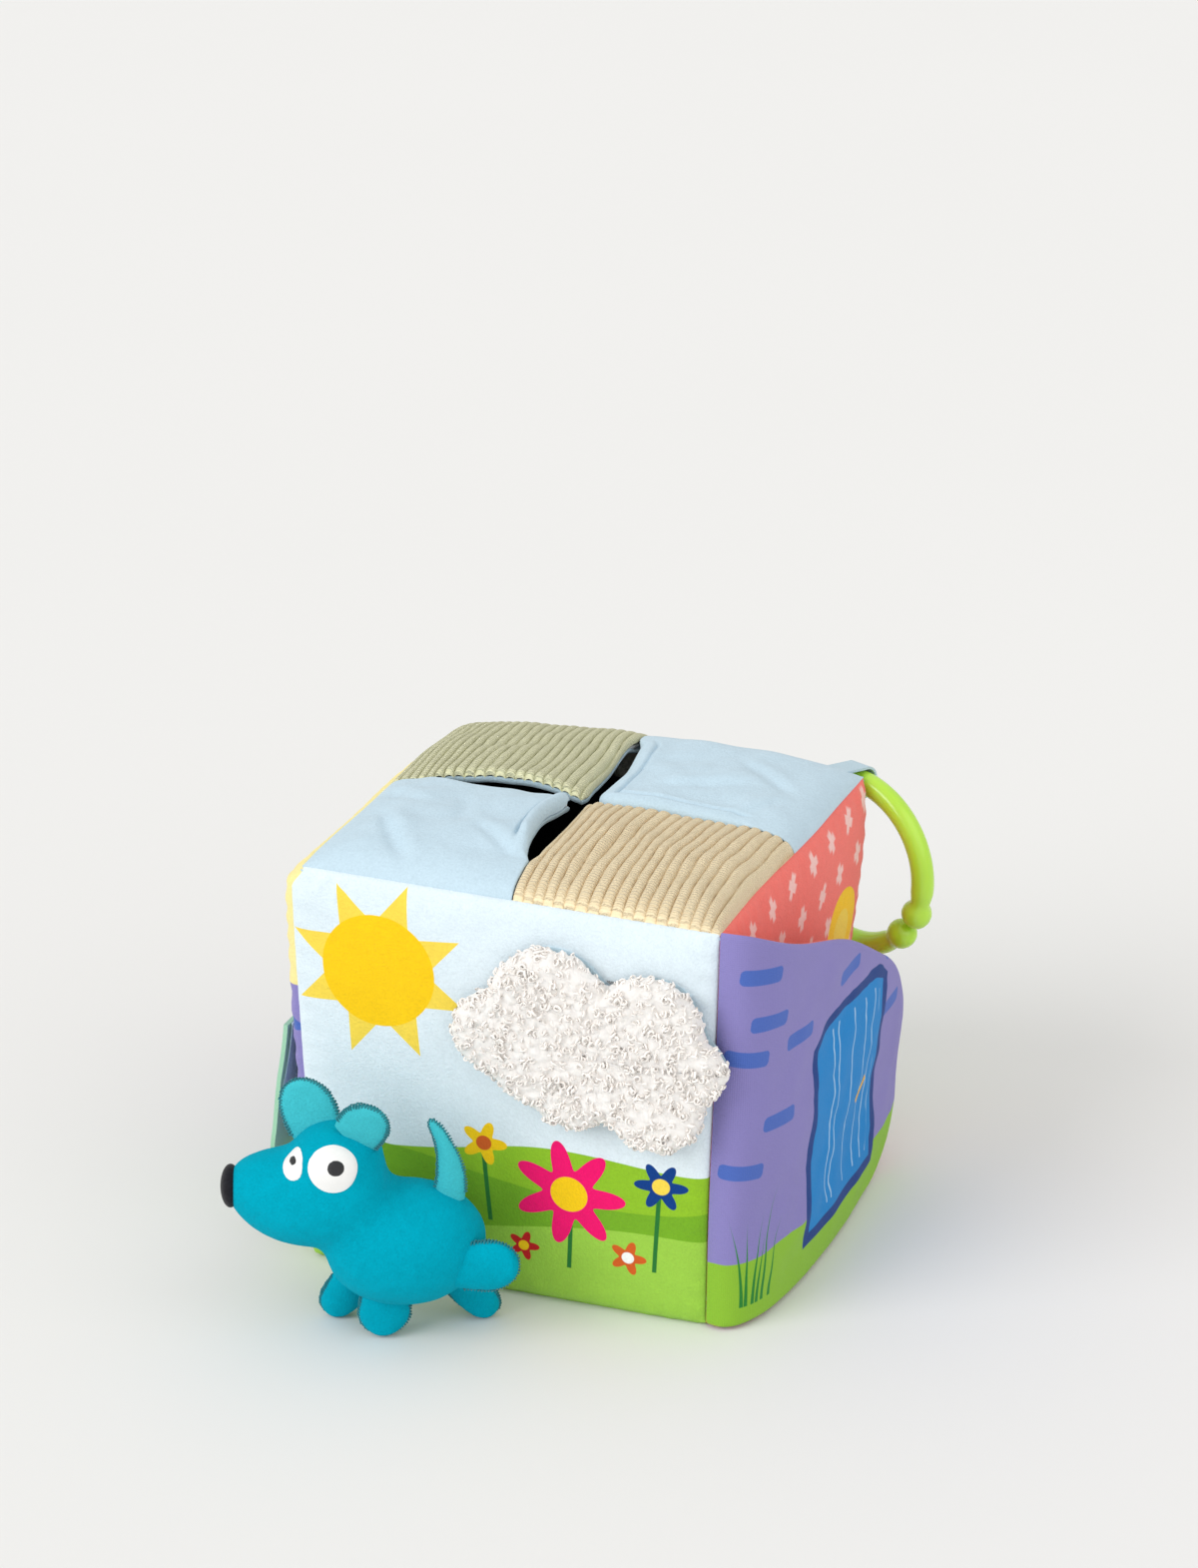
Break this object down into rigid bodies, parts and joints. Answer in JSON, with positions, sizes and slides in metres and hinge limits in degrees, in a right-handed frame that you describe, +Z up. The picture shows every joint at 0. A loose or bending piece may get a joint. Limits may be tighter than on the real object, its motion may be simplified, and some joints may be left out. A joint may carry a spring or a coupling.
{
  "type": "soft fabric block",
  "caption": "Soft fabric activity cube, hollow, with a slit top of padded flaps, a fabric page, a fleece cloud, a side flap and a link ring, and a plush puppy beside it.",
  "frame": {"origin": "centre of the block's flat underside, on the surface that the block stands on", "axes": "+Z up, -Y out of the picture side with the cloud, +X out of the side with the page"},
  "size_m": [0.204, 0.239, 0.1615],
  "materials": {
    "sky_velour": "matte",
    "coral_velour": "matte",
    "cream_velour": "matte",
    "leaf_velour": "matte",
    "purple_cloth": "matte",
    "mint_cloth": "matte",
    "sage_corduroy": "matte",
    "beige_corduroy": "matte",
    "black_lining": "matte",
    "foam": "matte",
    "wadding": "matte",
    "fleece": "matte",
    "ribbed_tape": "matte",
    "ring_plastic": "gloss",
    "teal_velour": "matte",
    "black_velour": "matte"
  },
  "bodies": {
    "block": {"front_panel": "sky_velour", "front_pad": "foam", "right_panel": "coral_velour", "right_pad": "foam", "back_panel": "sky_velour", "back_pad": "foam", "left_panel": "cream_velour", "left_pad": "foam", "base_panel": "leaf_velour", "base_pad": "foam", "lining_bag": "black_lining", "front_left_top_cover": "sky_velour", "front_left_top_wadding": "wadding", "front_left_top_backing": "sky_velour", "front_right_top_cover": "beige_corduroy", "front_right_top_wadding": "wadding", "front_right_top_backing": "sky_velour", "back_right_top_cover": "sky_velour", "back_right_top_wadding": "wadding", "back_right_top_backing": "sky_velour", "back_left_top_cover": "sage_corduroy", "back_left_top_wadding": "wadding", "back_left_top_backing": "sky_velour", "page_seam_binding": "purple_cloth", "cloud_top_fleece": "fleece", "cloud_top_backing": "sky_velour"},
    "front_left_flap": {"front_left_flap_cover": "sky_velour", "front_left_flap_wadding": "wadding", "front_left_flap_backing": "sky_velour"},
    "front_right_flap": {"front_right_flap_cover": "beige_corduroy", "front_right_flap_wadding": "wadding", "front_right_flap_backing": "sky_velour"},
    "back_right_flap": {"back_right_flap_cover": "sky_velour", "back_right_flap_wadding": "wadding", "back_right_flap_backing": "sky_velour"},
    "back_left_flap": {"back_left_flap_cover": "sage_corduroy", "back_left_flap_wadding": "wadding", "back_left_flap_backing": "sky_velour"},
    "page": {"page_printed_cloth": "purple_cloth", "page_wadding": "wadding", "page_back_cloth": "coral_velour", "page_fleece_patch": "fleece"},
    "window_flap": {"window_flap_cloth": "mint_cloth", "window_flap_backing": "sky_velour"},
    "cloud": {"cloud_flap_fleece": "fleece", "cloud_flap_backing": "sky_velour"},
    "loop": {"hanging_loop": "ribbed_tape"},
    "ring": {"link_ring": "ring_plastic"},
    "puppy": {"puppy_body": "teal_velour", "puppy_head": "teal_velour", "puppy_front_near_leg": "teal_velour", "puppy_front_far_leg": "teal_velour", "puppy_hind_near_leg": "teal_velour", "puppy_hind_far_leg": "teal_velour", "puppy_near_ear": "teal_velour", "puppy_far_ear": "teal_velour", "puppy_tail": "teal_velour", "puppy_nose": "black_velour"}
  },
  "joints": [
    {"name": "front_left_flap_fold", "type": "hinge", "parent": "block", "child": "front_left_flap", "pos_m": [-0.028, -0.028, 0.15688], "axis": [-0.7071, 0.7071, 0], "range_deg": [-30, 60], "stiffness_Nm_per_rad": 0.05},
    {"name": "front_right_flap_fold", "type": "hinge", "parent": "block", "child": "front_right_flap", "pos_m": [0.028, -0.028, 0.15688], "axis": [-0.7071, -0.7071, 0], "range_deg": [-30, 60], "stiffness_Nm_per_rad": 0.05},
    {"name": "back_right_flap_fold", "type": "hinge", "parent": "block", "child": "back_right_flap", "pos_m": [0.028, 0.028, 0.15688], "axis": [0.7071, -0.7071, 0], "range_deg": [-30, 60], "stiffness_Nm_per_rad": 0.05},
    {"name": "back_left_flap_fold", "type": "hinge", "parent": "block", "child": "back_left_flap", "pos_m": [-0.028, 0.028, 0.15688], "axis": [0.7071, 0.7071, 0], "range_deg": [-30, 60], "stiffness_Nm_per_rad": 0.05},
    {"name": "page_hinge", "type": "hinge", "parent": "block", "child": "page", "pos_m": [0.0839, -0.07159, 0.07], "axis": [0, 0, -1], "range_deg": [-3, 130]},
    {"name": "window_flap_hinge", "type": "hinge", "parent": "block", "child": "window_flap", "pos_m": [-0.0816, -0.04, 0.084], "axis": [0, 1, 0], "range_deg": [-10, 110], "stiffness_Nm_per_rad": 0.02},
    {"name": "cloud_hinge", "type": "hinge", "parent": "block", "child": "cloud", "pos_m": [0.034, -0.0879, 0.1235], "axis": [-1, 0, 0], "range_deg": [0, 100]},
    {"name": "loop_swing", "type": "hinge", "parent": "block", "child": "loop", "pos_m": [0.07212, 0.07227, 0.1483], "axis": [0.9135, -0.4067, 0], "range_deg": [0, 80]},
    {"name": "ring_turn", "type": "hinge", "parent": "loop", "child": "ring", "pos_m": [0.07733, 0.08397, 0.1095], "axis": [0.4067, 0.9135, 0], "range_deg": [-85, 209]},
    {"name": "puppy_lift", "type": "slide", "parent": "block", "child": "puppy", "axis": [0, -0.7071, 0.7071], "range_m": [0, 0.2]}
  ]
}
